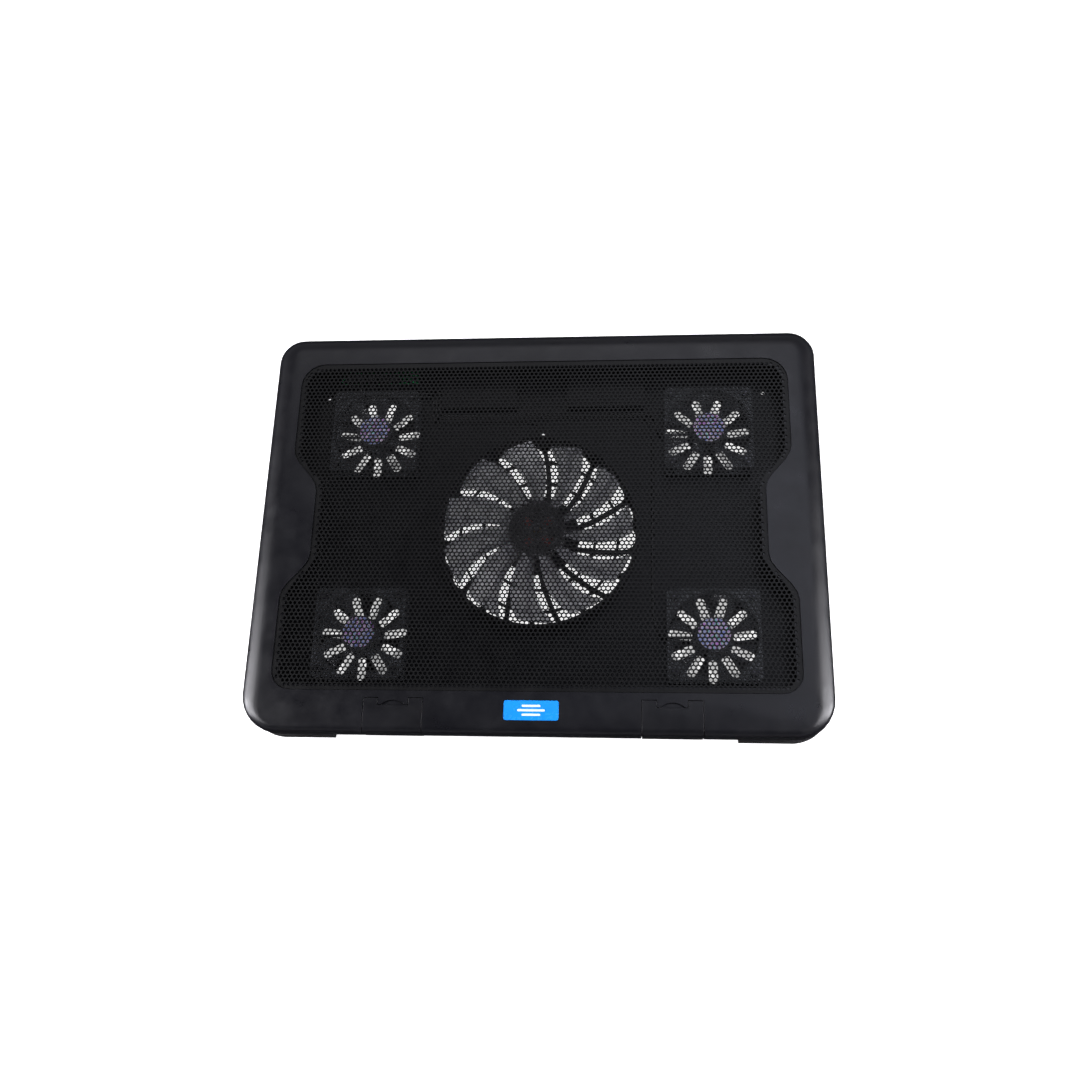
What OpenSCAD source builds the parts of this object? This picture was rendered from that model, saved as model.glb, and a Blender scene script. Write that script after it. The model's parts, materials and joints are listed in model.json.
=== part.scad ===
// Laptop cooling pad: a wide shallow housing under a metal mesh, with one large
// fan in the middle and four small ones round it, two flip-up stops along the
// front edge and two fold-out feet under the back edge.
// The origin is on the table under the middle of the pad. +X is to the right,
// +Y to the back and +Z up.

/* [Body] */
// Overall width
body_w = 380; // [316:1:460]
// Overall depth
body_d = 284; // [236:1:342]
// Overall height, from the table to the top face
body_h = 28; // [26:0.5:34]
// Height of the line where the two shells meet
parting_z = 16; // [15:0.5:17]
// Gap between the table and the floor of the housing
stand_h = 4; // [3:0.5:5]
// Wall of both shells
wall = 2; // [1.6:0.1:2.4]
// Plan radius of the two back corners
corner_r_back = 18; // [17:1:24]
// Plan radius of the two front corners
corner_r_front = 26; // [20:1:32]
// Width of the rounded shoulder along the sides and the back
shoulder_w = 14; // [8:1:15]
// Height of the rounded shoulder
shoulder_h = 9; // [6:0.5:10]
// Radius along the top of the front edge
front_round = 4.5; // [2:0.5:6]

/* [Mesh panel] */
// Bezel beside the mesh
bezel_side = 20; // [17:1:26]
// Bezel in front of the mesh
bezel_front = 26.8; // [25:0.2:34]
// Bezel behind the mesh
bezel_back = 23.2; // [20:0.2:30]
// How far each side of the mesh steps in at the waist
waist_in = 18; // [0:1:24]
// Length of the straight part of the waist
waist_len = 45; // [20:1:60]
// Length of each ramp from the waist to full width
waist_ramp = 31; // [20:1:40]
// Thickness of the mesh sheet
mesh_t = 0.8; // [0.5:0.1:1.2]
// How far the mesh lies below the top face
mesh_sink = 0.6; // [0.3:0.1:1]
// Pitch of the hexagonal openings
hex_pitch = 17; // [15:1:24]
// Width of metal between two openings
hex_rib = 2.6; // [2:0.2:5]

/* [Center fan] */
// Radius of the opening under the center fan
big_r = 66; // [56:1:79]
// Radius of the closed disc in the middle of its guard
big_disc_r = 28; // [24:1:34]
// Number of blades
big_blades = 11; // [7:1:13]
// Radius of the rotor hub
big_hub_r = 19; // [17:0.5:22]
// Number of guard ribs
guard_ribs = 22; // [16:1:26]
// Width of a guard rib
guard_rib_w = 3.4; // [1.2:0.1:4]

/* [Corner fans] */
// Side of the square fan frame
fan_size = 60; // [50:1:72]
// Depth of the fan frame
fan_t = 15; // [13:0.5:16]
// Distance from the side of the body to a corner fan's center
fan_from_side = 74; // [66:1:84]
// Distance from the back of the body to a rear fan's center
fan_from_back = 72.5; // [66:0.5:80]
// Distance from the front of the body to a front fan's center
fan_from_front = 66.5; // [64:0.5:80]
// Number of blades
fan_blades = 7; // [5:1:11]
// Radius of the rotor hub
hub_r = 12.5; // [11:0.5:14]
// Number of slots in the guard under each corner fan
petals = 11; // [8:1:12]
// Width of a guard slot
petal_w = 6; // [4:0.2:6.6]

/* [Stops] */
// Width of a flip-up stop
stop_w = 38; // [30:1:46]
// Distance from the front edge to the back edge of a stop
stop_d = 22; // [18:0.5:23]
// Distance from the middle to a stop's center
stop_x = 88.5; // [84:0.5:100]
// Thickness of a stop
stop_t = 2.4; // [2:0.1:2.8]

/* [Rear feet] */
// Width of a fold-out foot
foot_w = 48; // [36:1:50]
// Length of a fold-out foot, from its hinge to its tip
foot_len = 36; // [28:1:40]
// Thickness of a fold-out foot
foot_t = 3.6; // [3:0.1:4]
// Distance from the middle to a foot's center
foot_x = 45; // [44:0.5:46]

/* [Badge] */
// Width of the badge
badge_w = 35; // [24:1:44]
// Depth of the badge
badge_d = 12.6; // [8:0.2:14]

/* [Electronics] */
// Width of the control board
board_w = 56; // [52:1:58]
// Depth of the control board
board_d = 24; // [23:0.5:26]
// Diameter of a fan lead
lead_d = 1.8; // [1.4:0.1:2]

/* [Hidden] */

// How far a cutting shape runs past the face that it cuts
eps = 1;
// Thickness of the slabs that a shell's outer form is stretched over
slice = 0.1;
hull_fn = 32;
round_fn = 48;

// Shells
floor_z = stand_h + wall;
lip_in = 0.6;
tuck_mid_z = stand_h + 3;
tuck_mid = 3.6;
tuck_low = 7;
shoulder_steps = 8;
align_h = 1.5;
align_t = 1;
align_gap = 0.3;
front_y = -body_d / 2;
back_y = body_d / 2;

// Mesh and its seat
mesh_gap = 0.4;
mesh_corner_back = 16.5;
mesh_corner_front = 13;
ledge_w = 4;
ledge_t = 2;
ledge_out = 3;
seat_z = body_h - mesh_sink - mesh_t;
mesh_a = body_w / 2 - bezel_side;
mesh_back = back_y - bezel_back;
mesh_front = front_y + bezel_front;
waist_y = -0.5;
ramp_steps = 6;
arc_steps = 5;
hex_margin = 4 + hex_pitch / 2;

// Fan places
fan_x = body_w / 2 - fan_from_side;
rear_fan_y = back_y - fan_from_back;
front_fan_y = front_y + fan_from_front;
mid_y = (rear_fan_y + front_fan_y) / 2;
FAN_CENTERS = [
    [-fan_x, front_fan_y], [fan_x, front_fan_y], [-fan_x, rear_fan_y], [fan_x, rear_fan_y]
];

// Corner fans
plinth_h = 1.5;
fan_z = floor_z + plinth_h;
fan_top = fan_z + fan_t;
bore_r = fan_size / 2 - 1.5;
duct_wall = 1.1;
flange_t = 2;
hole_pitch = fan_size - 10;
hole_r = 1.6;
post_r = 3.4;
frame_corner_r = 3;
tip_gap = 1;
base_r = 11;
base_t = 2;
strut_w = 3.2;
struts = 3;
cup_wall = 1;
cup_top = 1.2;
cup_bottom_gap = 2.5;
magnet_t = 1.2;
shaft_r = 1;
sleeve_r = 1.9;
run_gap = 0.04;
tube_wall = 0.8;
stator_gap = 0.6;
fan_sweep = 14;
fan_chord = [9, 15];
fan_turn = 13;
blade_t = 1.2;
core_arm = 2;
core_h = 3;
shoe_t = 1.2;
rotor_z = fan_z + base_t + cup_bottom_gap;
rotor_top = fan_top - 0.5;
cup_in_r = hub_r - cup_wall;
stator_r = cup_in_r - magnet_t - stator_gap;
stator_z = rotor_z + 2.4;
stem_h = 2;
// Gap between a rotor's stem and the bearing tube below it
stem_gap = 0.6;
tube_top = rotor_top - cup_top - stem_h - stem_gap;
// How far a magnet ring stays back from both ends of its cup
magnet_gap = 0.6;
// How far a sleeve bearing stays below the end of its tube
sleeve_sink = 0.4;

// Center fan
duct_t = 1.8;
duct_top = body_h - 7;
big_tip_r = big_r - 2;
big_rotor_z = floor_z + 3.5;
big_rotor_top = body_h - 5.5;
big_cup_wall = 1.6;
big_cup_top = 1.6;
big_magnet_t = 1.6;
big_shaft_r = 1.5;
big_sleeve_r = 3;
big_tube_wall = 1.2;
big_sweep = 16;
big_chord = [7, 24];
big_phase = 24.5;
guard_rings = [big_disc_r, 39, 54.5, big_r];
guard_phase = 6.7;
guard_swirl = 0.29;
guard_ring_w = 1.8;
poles = 4;
big_core_arm = 3.2;
big_core_h = 3.2;
big_shoe_t = 2;
big_tube_top = big_rotor_top - 6.5;
big_cup_in = big_hub_r - big_cup_wall;
big_stator_r = big_cup_in - big_magnet_t - stator_gap;
big_stator_in = big_sleeve_r + big_tube_wall;
big_stator_z = big_rotor_z + 2;
// Radii of the groove in the top of the large hub
hub_groove = [big_hub_r - 4.6, big_hub_r - 2.6];

// Guard slots under the corner fans
petal_in = 13.5;
petal_out = bore_r + 1;

// Stops
stop_gap = 0.4;
stop_axis_y = front_y + 4.5;
stop_axis_z = parting_z + 3;
stop_foot_z = parting_z - 1.5;
stop_barrel_r = 2.6;
stop_scoop_r = 7;
stop_ear = 3;
stop_pin_r = 1;
stop_pin_gap = 0.05;
notch_w = 20;
notch_d = 4.6;
tray_t = 1.5;
tray_top = body_h - stop_t - 0.2;
// Where the curved back wall of a stop's bay starts, clear of the lower shell
scoop_y = front_y + wall + 3;
tongue_depth = 1.4;
tongue_rise = 3;
tongue_chord = 16;

// Rear feet
foot_gap = 1;
foot_wall = 2;
foot_back = 12;
foot_axis_y = back_y - foot_back;
foot_z = stand_h + 0.6;
foot_axis_z = foot_z + foot_t / 2;
foot_barrel_r = foot_t / 2 + 0.3;
foot_pin_r = 1;
foot_pin_gap = 0.05;
foot_roof = foot_z + foot_t + 1;
foot_tip_len = 4;
foot_window_w = 26;
foot_window_d = 14;
foot_back_room = 3.6;

// Pads
pad_reach = 7.6;
pad_x = body_w / 2 - 59;
pad_depth = 22;
pad_edge = 0.3;
pad_slant = 3;
pad_side = 6.5;
rear_pad_w = 30;
rear_pad_d = 8;
rear_pad_x = body_w / 2 - 38;
rear_pad_y = back_y - 19;

// Screws
boss_r = 4.2;
boss_hole_r = 1.6;
boss_sink_r = 3;
boss_sink_h = 2.4;
top_boss_r = 3.3;
screw_r = 1.3;
screw_head_r = 2.6;
screw_head_h = 1.9;
screw_end_z = body_h - 6;
SHELL_SCREWS = [
    for (sx = [-1, 1])
        each [
            [sx * (body_w / 2 - 12), back_y - 22],
            [sx * (body_w / 2 - 12), 0],
            [sx * (body_w / 2 - 12), front_y + 30],
            [sx * (foot_x + foot_w / 2 + 12), back_y - 11],
            [sx * 45, front_y + 11]
        ]
];
fan_screw_r = 1.2;
fan_screw_head_r = 2.4;
fan_screw_head_h = 1.6;
fan_screw_bite = 2.4;

// Badge
badge_y = front_y + 15;
badge_sink = 1.2;
badge_t = 1;
badge_gap = 0.2;
badge_corner = 1.5;
mark_t = badge_sink - badge_t;

// Electronics, behind the rear left fan
board_t = 1.2;
board_z = floor_z + 2;
board_x1 = -fan_x - 30;
board_x2 = board_x1 + board_w;
board_y2 = back_y - 6;
board_y1 = board_y2 - board_d;
board_top = board_z + board_t;
usb_w = 13.2;
usb_h = 5.6;
usb_len = 14;
usb_wall = 0.4;
usb_back = 3;
usb_face_y = back_y - 2.4;
usb_xs = [board_x1 + 12, board_x1 + 30];
cut_gap = 0.25;
switch_x = board_x2 - 8;
switch_w = 10;
switch_h = 4.6;
switch_d = 5;
switch_travel = 3;
knob_w = 3.4;
knob_h = 2.4;
knob_z = board_top + switch_h / 2;
switch_back_y = back_y - 7.6;
plug_w = 6.2;
plug_d = 6;
plug_h = 4;
plug_pitch = 8;
plug_x0 = board_x1 + 7;
board_post_r = 2.4;
board_screw_r = 0.9;
BOARD_SCREWS = [[board_x1 + 3, board_y2 - 4], [board_x2 - 3, board_y1 + 4]];

// Fan leads
lead_r = lead_d / 2;
lead_z = floor_z + lead_r + 0.3;
lead_rib = guard_phase + 5 * 360 / guard_ribs;
lead_pitch = lead_d + 0.6;
bundle_y = foot_axis_y - foot_len - foot_gap - foot_wall - 4;
bundle_x = -foot_x - foot_w / 2 - foot_gap - foot_wall - 4;
plug_y = board_y1 + 0.4;
plug_z = board_top + plug_h / 2;

// Small holes that show the table through the floor
DRAINS = [[-body_w / 2 + 34.5, 103, 1.5], [body_w / 2 - 34.5, 103, 1.5], [1, 72, 2]];

// ---- Shared outlines ----

// How far the front face has curved back at height z
function front_inset(z) =
    let (rise = max(0, min(1, (z - body_h + front_round) / front_round)))
    front_round * (1 - sqrt(1 - rise * rise));

// A slab of the body's outline, moved in at the sides, back and front
module outline_slab(z, h, side, front) {
    for (sx = [-1, 1]) {
        translate([sx * (body_w / 2 - corner_r_back), back_y - corner_r_back, z])
            cylinder(r = corner_r_back - side, h = h, $fn = hull_fn);
        translate([sx * (body_w / 2 - corner_r_front), front_y + front + corner_r_front - side, z])
            cylinder(r = corner_r_front - side, h = h, $fn = hull_fn);
    }
}

// The upper shell's outer form, moved in by t
module upper_form(t) {
    hull() {
        outline_slab(parting_z - t, body_h - shoulder_h - parting_z, t, t);
        for (k = [1:shoulder_steps]) {
            a = 90 * k / shoulder_steps;
            z = body_h - shoulder_h * (1 - sin(a));
            outline_slab(z - t - slice, slice, t + shoulder_w * (1 - cos(a)), t + front_inset(z));
        }
    }
}

// The lower shell's outer form, moved in by t, with its floor at z_low
module lower_form(t, z_low) {
    low = (t > 0 ? tuck_mid + 1.4 : tuck_low) + t;
    hull() {
        outline_slab(parting_z - slice + t, slice, lip_in + t, lip_in + t);
        outline_slab(tuck_mid_z, slice, tuck_mid + t, tuck_mid + t);
        outline_slab(z_low, slice, low, low);
    }
}

// Half width of the mesh at y, grown by g
function mesh_side(y, g) =
    let (
        past = abs(y - waist_y) - waist_len / 2,
        share = max(0, min(1, past / waist_ramp))
    )
    mesh_a + g - waist_in * (1 + cos(180 * share)) / 2;

// The right half of the mesh outline, from the front to the back
function mesh_half(g) = concat(
    [for (k = [0:arc_steps])
        let (a = -90 + 90 * k / arc_steps, r = mesh_corner_front + g)
        [mesh_a + g - r + r * cos(a), mesh_front - g + r + r * sin(a)]],
    [for (k = [0:ramp_steps])
        let (y = waist_y - waist_len / 2 - waist_ramp * (1 - k / ramp_steps))
        [mesh_side(y, g), y]],
    [for (k = [0:ramp_steps])
        let (y = waist_y + waist_len / 2 + waist_ramp * k / ramp_steps)
        [mesh_side(y, g), y]],
    [for (k = [0:arc_steps])
        let (a = 90 * k / arc_steps, r = mesh_corner_back + g)
        [mesh_a + g - r + r * cos(a), mesh_back + g - r + r * sin(a)]]
);

module mesh_area(g) {
    half = mesh_half(g);
    last = len(half) - 1;
    polygon(concat(half, [for (k = [0:last]) [-half[last - k][0], half[last - k][1]]]));
}

// ---- Upper shell ----

module stop_place(side) {
    translate([side * stop_x, 0, 0])
        children();
}

// A stop's outline seen from above, with the finger notch in its back edge
module stop_plan(gap) {
    difference() {
        translate([-stop_w / 2 - gap, front_y - eps])
            square([stop_w + 2 * gap, stop_d + eps + gap]);
        translate([-notch_w / 2 + gap, front_y + stop_d - notch_d + gap])
            square([notch_w - 2 * gap, notch_d + eps]);
    }
}

module stop_axle(r, length) {
    translate([-length / 2, stop_axis_y, stop_axis_z])
        rotate([0, 90, 0])
            cylinder(r = r, h = length, $fn = round_fn);
}

// Floor, ears and curved back wall of the bay that a stop folds into
module stop_bay() {
    bay_w = stop_w + 2 * (stop_gap + stop_ear);
    back = front_y + stop_d + 2;
    translate([-bay_w / 2, stop_axis_y, tray_top - tray_t])
        cube([bay_w, back - stop_axis_y, tray_t + 1]);
    intersection() {
        stop_axle(stop_scoop_r + tray_t, bay_w);
        translate([-bay_w / 2, scoop_y, 0])
            cube([bay_w, stop_scoop_r + tray_t, tray_top - 1]);
    }
    for (sx = [-1, 1])
        translate([sx * (bay_w - stop_ear) / 2 - stop_ear / 2, front_y + 1, parting_z])
            cube([stop_ear, stop_scoop_r + 4, tray_top - parting_z]);
}

// Space that a stop needs: at rest, and while it swings
module stop_space() {
    room = stop_w + 2 * stop_gap;
    translate([0, 0, tray_top])
        linear_extrude(body_h)
            stop_plan(stop_gap);
    stop_axle(stop_scoop_r, room);
    translate([-room / 2, front_y - eps, stop_foot_z - 1])
        cube([room, stop_axis_y - front_y - 0.3 + eps, body_h]);
}

// Shallow hollow in the tongue behind the stop, for a fingertip
module finger_hollow() {
    r = (pow(tongue_chord / 2, 2) + pow(tongue_rise, 2)) / (2 * tongue_rise);
    edge = front_y + stop_d - notch_d + stop_gap;
    translate([0, edge + tongue_rise - r, body_h - tongue_depth])
        cylinder(r = r, h = tongue_depth + eps, $fn = round_fn);
}

module top_boss(p) {
    translate([p[0], p[1], parting_z])
        cylinder(r = top_boss_r, h = body_h - parting_z - 1, $fn = round_fn);
}

module top_shell() {
    color([0.03, 0.03, 0.035])
        difference() {
            union() {
                difference() {
                    upper_form(0);
                    upper_form(wall);
                }
                translate([0, 0, seat_z - ledge_t])
                    linear_extrude(ledge_t + 0.5)
                        difference() {
                            mesh_area(ledge_out);
                            mesh_area(-ledge_w);
                        }
                intersection() {
                    upper_form(0.5);
                    union()
                        for (p = SHELL_SCREWS)
                            top_boss(p);
                }
                for (side = [-1, 1])
                    stop_place(side)
                        stop_bay();
            }
            translate([0, 0, seat_z])
                linear_extrude(body_h)
                    mesh_area(0);
            translate([0, 0, seat_z - ledge_t - eps])
                linear_extrude(body_h)
                    mesh_area(-ledge_w);
            for (p = SHELL_SCREWS)
                translate([p[0], p[1], parting_z - eps])
                    cylinder(r = screw_r, h = screw_end_z - parting_z + eps + 0.5, $fn = round_fn);
            for (side = [-1, 1])
                stop_place(side) {
                    stop_space();
                    stop_axle(stop_pin_r, stop_w + 2 * (stop_gap + stop_ear) + eps);
                    finger_hollow();
                }
            translate([0, badge_y, body_h - badge_sink])
                linear_extrude(badge_sink + eps)
                    rounded_rect(badge_w + 2 * badge_gap, badge_d + 2 * badge_gap, badge_corner + badge_gap);
        }
}

// A rectangle with true round corners, centered
module rounded_rect(w, d, r) {
    square([w - 2 * r, d], center = true);
    square([w, d - 2 * r], center = true);
    for (sx = [-1, 1], sy = [-1, 1])
        translate([sx * (w / 2 - r), sy * (d / 2 - r)])
            circle(r = r, $fn = hull_fn);
}

module mesh_panel() {
    row_pitch = hex_pitch * sqrt(3) / 2;
    rows = ceil((mesh_back - mesh_front) / row_pitch / 2);
    cols = ceil(mesh_a / hex_pitch);
    hole = (hex_pitch - hex_rib) / sqrt(3);
    center_y = (mesh_back + mesh_front) / 2;
    color([0.06, 0.06, 0.065])
        translate([0, 0, seat_z])
            linear_extrude(mesh_t)
                difference() {
                    mesh_area(-mesh_gap);
                    for (j = [-rows:rows], i = [-cols:cols]) {
                        x = (i + (j % 2 == 0 ? 0 : 0.5)) * hex_pitch;
                        y = center_y + j * row_pitch;
                        fits_x = abs(x) < mesh_side(y, -hex_margin);
                        fits_y = y > mesh_front + hex_margin && y < mesh_back - hex_margin;
                        if (fits_x && fits_y)
                            translate([x, y])
                                rotate(30)
                                    circle(r = hole, $fn = 6);
                    }
                }
}

module badge_plate() {
    color([0.02, 0.35, 0.85])
        translate([0, badge_y, body_h - badge_sink])
            linear_extrude(badge_t)
                rounded_rect(badge_w, badge_d, badge_corner);
}

// A plain airflow mark: three bars of different length
module badge_mark() {
    bar_d = badge_d / 9;
    lengths = [0.34, 0.5, 0.34];
    color([0.9, 0.92, 0.95])
        for (k = [0:2])
            translate([0, badge_y + (k - 1) * bar_d * 2, body_h - mark_t])
                linear_extrude(mark_t)
                    rounded_rect(badge_w * lengths[k], bar_d, bar_d / 2 - 0.01);
}

// ---- Stops ----

module stop_flap(side) {
    color([0.035, 0.035, 0.04])
        stop_place(side)
            difference() {
                union() {
                    intersection() {
                        translate([-side * stop_x, 0, 0])
                            upper_form(0);
                        union() {
                            translate([0, 0, body_h - stop_t])
                                linear_extrude(stop_t + eps)
                                    stop_plan(0);
                            translate([-stop_w / 2, front_y - eps, parting_z])
                                cube([stop_w, stop_t + eps, body_h]);
                        }
                    }
                    translate([-stop_w / 2, front_y, stop_foot_z])
                        cube([stop_w, stop_t, stop_axis_z - stop_foot_z]);
                    stop_axle(stop_barrel_r, stop_w);
                }
                stop_axle(stop_pin_r + stop_pin_gap, stop_w + eps);
            }
}

module stop_pin(side) {
    color([0.7, 0.7, 0.72])
        stop_place(side)
            stop_axle(stop_pin_r, stop_w + 2 * (stop_gap + stop_ear));
}

// ---- Lower shell ----

// A point in the center fan's guard: ribs lean further round with radius
function guard_point(r, a) = let (b = a + guard_swirl * (r - big_r)) [r * cos(b), r * sin(b)];

// Half the angle that an opening spans at radius r
function guard_half(r) = 180 / guard_ribs - guard_rib_w / r * 90 / PI;

// One opening of ring k; the outermost ring ends in round lobes
module guard_cell(k, a) {
    r1 = guard_rings[k] + (k > 0 ? guard_ring_w / 2 : 0);
    r2 = guard_rings[k + 1] - (k < 2 ? guard_ring_w / 2 : 0);
    outer = k < 2 ? [guard_point(r2, a - guard_half(r2)), guard_point(r2, a + guard_half(r2))] : [
        for (u = [-90:30:90])
            guard_point(r2 - 4 + 4 * cos(u), a + guard_half(r2) * sin(u))
    ];
    polygon(concat([guard_point(r1, a + guard_half(r1)), guard_point(r1, a - guard_half(r1))], outer));
}

module center_guard_openings() {
    translate([0, mid_y, stand_h - eps])
        linear_extrude(wall + 2 * eps)
            for (k = [0:2], n = [0:guard_ribs - 1])
                guard_cell(k, guard_phase + (n + 0.5) * 360 / guard_ribs);
}

// One slot of a corner fan's guard, along +X from the hub
module petal() {
    r = petal_w / 2;
    polygon(concat(
        [[petal_in + 1, -r], [petal_out - r, -r]],
        [for (u = [-60:30:60]) [petal_out - r + r * cos(u), r * sin(u)]],
        [[petal_out - r, r], [petal_in + 1, r], [petal_in, r / 2], [petal_in, -r / 2]]
    ));
}

module petal_openings(c) {
    translate([c[0], c[1], stand_h - eps])
        linear_extrude(wall + plinth_h + 2 * eps)
            for (n = [0:petals - 1])
                rotate(-90 + n * 360 / petals)
                    petal();
}

// Square seat under a corner fan, open inside the duct
module fan_plinth(c) {
    translate([c[0], c[1], floor_z - 0.5])
        linear_extrude(plinth_h + 0.5)
            difference() {
                rounded_rect(fan_size, fan_size, frame_corner_r);
                circle(r = bore_r, $fn = 96);
            }
}

module at_fan_holes(c) {
    for (sx = [-1, 1], sy = [-1, 1])
        translate([c[0] + sx * hole_pitch / 2, c[1] + sy * hole_pitch / 2, 0])
            children();
}

module foot_place(side) {
    translate([side * foot_x, 0, 0])
        children();
}

module foot_axle(r, length) {
    translate([-length / 2, foot_axis_y, foot_axis_z])
        rotate([0, 90, 0])
            cylinder(r = r, h = length, $fn = round_fn);
}

module foot_pocket(t) {
    y1 = foot_axis_y - foot_len - foot_gap;
    y2 = foot_axis_y + foot_back_room;
    w = foot_w + 2 * foot_gap;
    translate([-w / 2 - t, y1 - t, t > 0 ? stand_h : stand_h - eps])
        cube([w + 2 * t, y2 - y1 + 2 * t, foot_roof - stand_h + (t > 0 ? t : eps)]);
}

module center_mount() {
    translate([0, mid_y, 0]) {
        translate([0, 0, floor_z - 0.5])
            difference() {
                cylinder(r = big_r + 0.5 + duct_t, h = duct_top - floor_z + 0.5, $fn = 128);
                translate([0, 0, -eps])
                    cylinder(r = big_r + 0.5, h = body_h, $fn = 128);
            }
        translate([0, 0, floor_z - 0.5])
            cylinder(r = big_sleeve_r + big_tube_wall, h = big_tube_top - floor_z + 0.5, $fn = round_fn);
    }
}

module bottom_shell() {
    color([0.03, 0.03, 0.035])
        difference() {
            union() {
                difference() {
                    lower_form(0, stand_h);
                    lower_form(wall, floor_z);
                }
                alignment_lip();
                center_mount();
                for (c = FAN_CENTERS)
                    fan_plinth(c);
                for (side = [-1, 1])
                    foot_place(side)
                        foot_pocket(foot_wall);
                for (p = SHELL_SCREWS)
                    translate([p[0], p[1], stand_h])
                        cylinder(r = boss_r, h = parting_z - stand_h, $fn = round_fn);
                for (p = BOARD_SCREWS)
                    translate([p[0], p[1], floor_z - 0.5])
                        cylinder(r = board_post_r, h = board_z - floor_z + 0.5, $fn = round_fn);
            }
            center_guard_openings();
            for (c = FAN_CENTERS) {
                petal_openings(c);
                at_fan_holes(c)
                    translate([0, 0, fan_z - fan_screw_bite])
                        cylinder(r = fan_screw_r, h = fan_screw_bite + eps, $fn = round_fn);
            }
            translate([0, mid_y, floor_z - 0.6])
                cylinder(r = big_sleeve_r, h = body_h, $fn = round_fn);
            for (p = SHELL_SCREWS)
                translate([p[0], p[1], stand_h - eps]) {
                    cylinder(r = boss_hole_r, h = body_h, $fn = round_fn);
                    cylinder(r = boss_sink_r, h = boss_sink_h + eps, $fn = round_fn);
                }
            for (p = BOARD_SCREWS)
                translate([p[0], p[1], floor_z - 0.4])
                    cylinder(r = board_screw_r, h = board_z - floor_z + eps, $fn = round_fn);
            for (side = [-1, 1]) {
                foot_place(side) {
                    foot_pocket(0);
                    foot_axle(foot_pin_r, foot_w + 2 * (foot_gap + foot_wall) + eps);
                }
                stop_place(side)
                    stop_axle(stop_scoop_r, stop_w + 2 * stop_gap);
            }
            for (d = DRAINS)
                translate([d[0], d[1], stand_h - eps])
                    cylinder(r = d[2], h = wall + 2 * eps, $fn = round_fn);
            port_openings();
            lead_notch();
        }
}

// The body's plan outline with true round corners, moved in by t
module plan_outline(t) {
    translate([-body_w / 2 + corner_r_back, back_y - corner_r_back])
        square([body_w - 2 * corner_r_back, corner_r_back - t]);
    translate([-body_w / 2 + corner_r_front, front_y + t])
        square([body_w - 2 * corner_r_front, corner_r_front - t]);
    translate([-body_w / 2 + t, front_y + corner_r_front])
        square([body_w - 2 * t, body_d - corner_r_front - corner_r_back]);
    for (sx = [-1, 1]) {
        translate([sx * (body_w / 2 - corner_r_back), back_y - corner_r_back])
            circle(r = corner_r_back - t, $fn = hull_fn);
        translate([sx * (body_w / 2 - corner_r_front), front_y + corner_r_front])
            circle(r = corner_r_front - t, $fn = hull_fn);
    }
}

// Thin wall that stands inside the upper shell and keeps the two in line
module alignment_lip() {
    gap = align_gap + wall;
    difference() {
        translate([0, 0, parting_z - 1])
            linear_extrude(align_h + 1)
                difference() {
                    plan_outline(gap);
                    plan_outline(gap + align_t);
                }
        for (side = [-1, 1])
            stop_place(side)
                translate([-stop_w / 2 - stop_ear - 1, front_y, parting_z - 2])
                    cube([stop_w + 2 * (stop_ear + 1), wall * 4, body_h]);
    }
}

// Openings in the back wall for the two sockets and the switch knob
module port_openings() {
    for (x = usb_xs)
        translate([x - usb_w / 2 - cut_gap, usb_face_y - usb_len, board_top - cut_gap])
            cube([usb_w + 2 * cut_gap, usb_len + wall * 4, usb_h + 2 * cut_gap]);
    translate([switch_x - knob_w / 2 - cut_gap, switch_back_y, knob_z - knob_h / 2 - cut_gap])
        cube([knob_w + switch_travel + 2 * cut_gap, wall * 6, knob_h + 2 * cut_gap]);
}

// Gap in the center duct's wall that its lead leaves through
module lead_notch() {
    p = guard_point(big_r + 1, lead_rib);
    translate([p[0] - lead_d, mid_y + p[1] - 4, floor_z - 0.02])
        cube([2 * lead_d, 8, lead_d + 1.2]);
}

// ---- Feet and pads ----

module rear_foot(side) {
    window_y = foot_axis_y - foot_len / 2 - foot_window_d / 2;
    color([0.045, 0.045, 0.05])
        foot_place(side)
            difference() {
                union() {
                    translate([-foot_w / 2, foot_axis_y - foot_len + foot_tip_len, foot_z])
                        cube([foot_w, foot_len - foot_tip_len, foot_t]);
                    foot_axle(foot_barrel_r, foot_w);
                }
                foot_axle(foot_pin_r + foot_pin_gap, foot_w + eps);
                translate([-foot_window_w / 2, window_y, foot_z - eps])
                    cube([foot_window_w, foot_window_d, foot_t + 2 * eps]);
            }
}

module foot_pin(side) {
    color([0.7, 0.7, 0.72])
        foot_place(side)
            foot_axle(foot_pin_r, foot_w + 2 * (foot_gap + foot_wall));
}

module foot_tip(side) {
    color([0.1, 0.1, 0.1])
        foot_place(side)
            translate([-foot_w / 2, foot_axis_y - foot_len, foot_z])
                cube([foot_w, foot_tip_len, foot_t]);
}

// Corner foot: a rubber wedge that fills the tuck under a front corner
module front_pad(side) {
    color([0.06, 0.06, 0.065])
        difference() {
            intersection() {
                linear_extrude(pad_reach)
                    plan_outline(pad_edge);
                linear_extrude(pad_reach)
                    polygon([
                        [side * (pad_x - pad_slant), front_y + pad_depth],
                        [side * pad_x, front_y - eps],
                        [side * (body_w / 2 - pad_side), front_y - eps],
                        [side * (body_w / 2 - pad_side), front_y + pad_depth * 0.7],
                        [side * (body_w / 2 - 22), front_y + pad_depth]
                    ]);
            }
            lower_form(0, stand_h);
        }
}

module rear_pads() {
    color([0.06, 0.06, 0.065])
        for (side = [-1, 1])
            translate([side * rear_pad_x, rear_pad_y, 0])
                linear_extrude(stand_h)
                    rounded_rect(rear_pad_w, rear_pad_d, 2);
}

// ---- Fans ----

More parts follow.
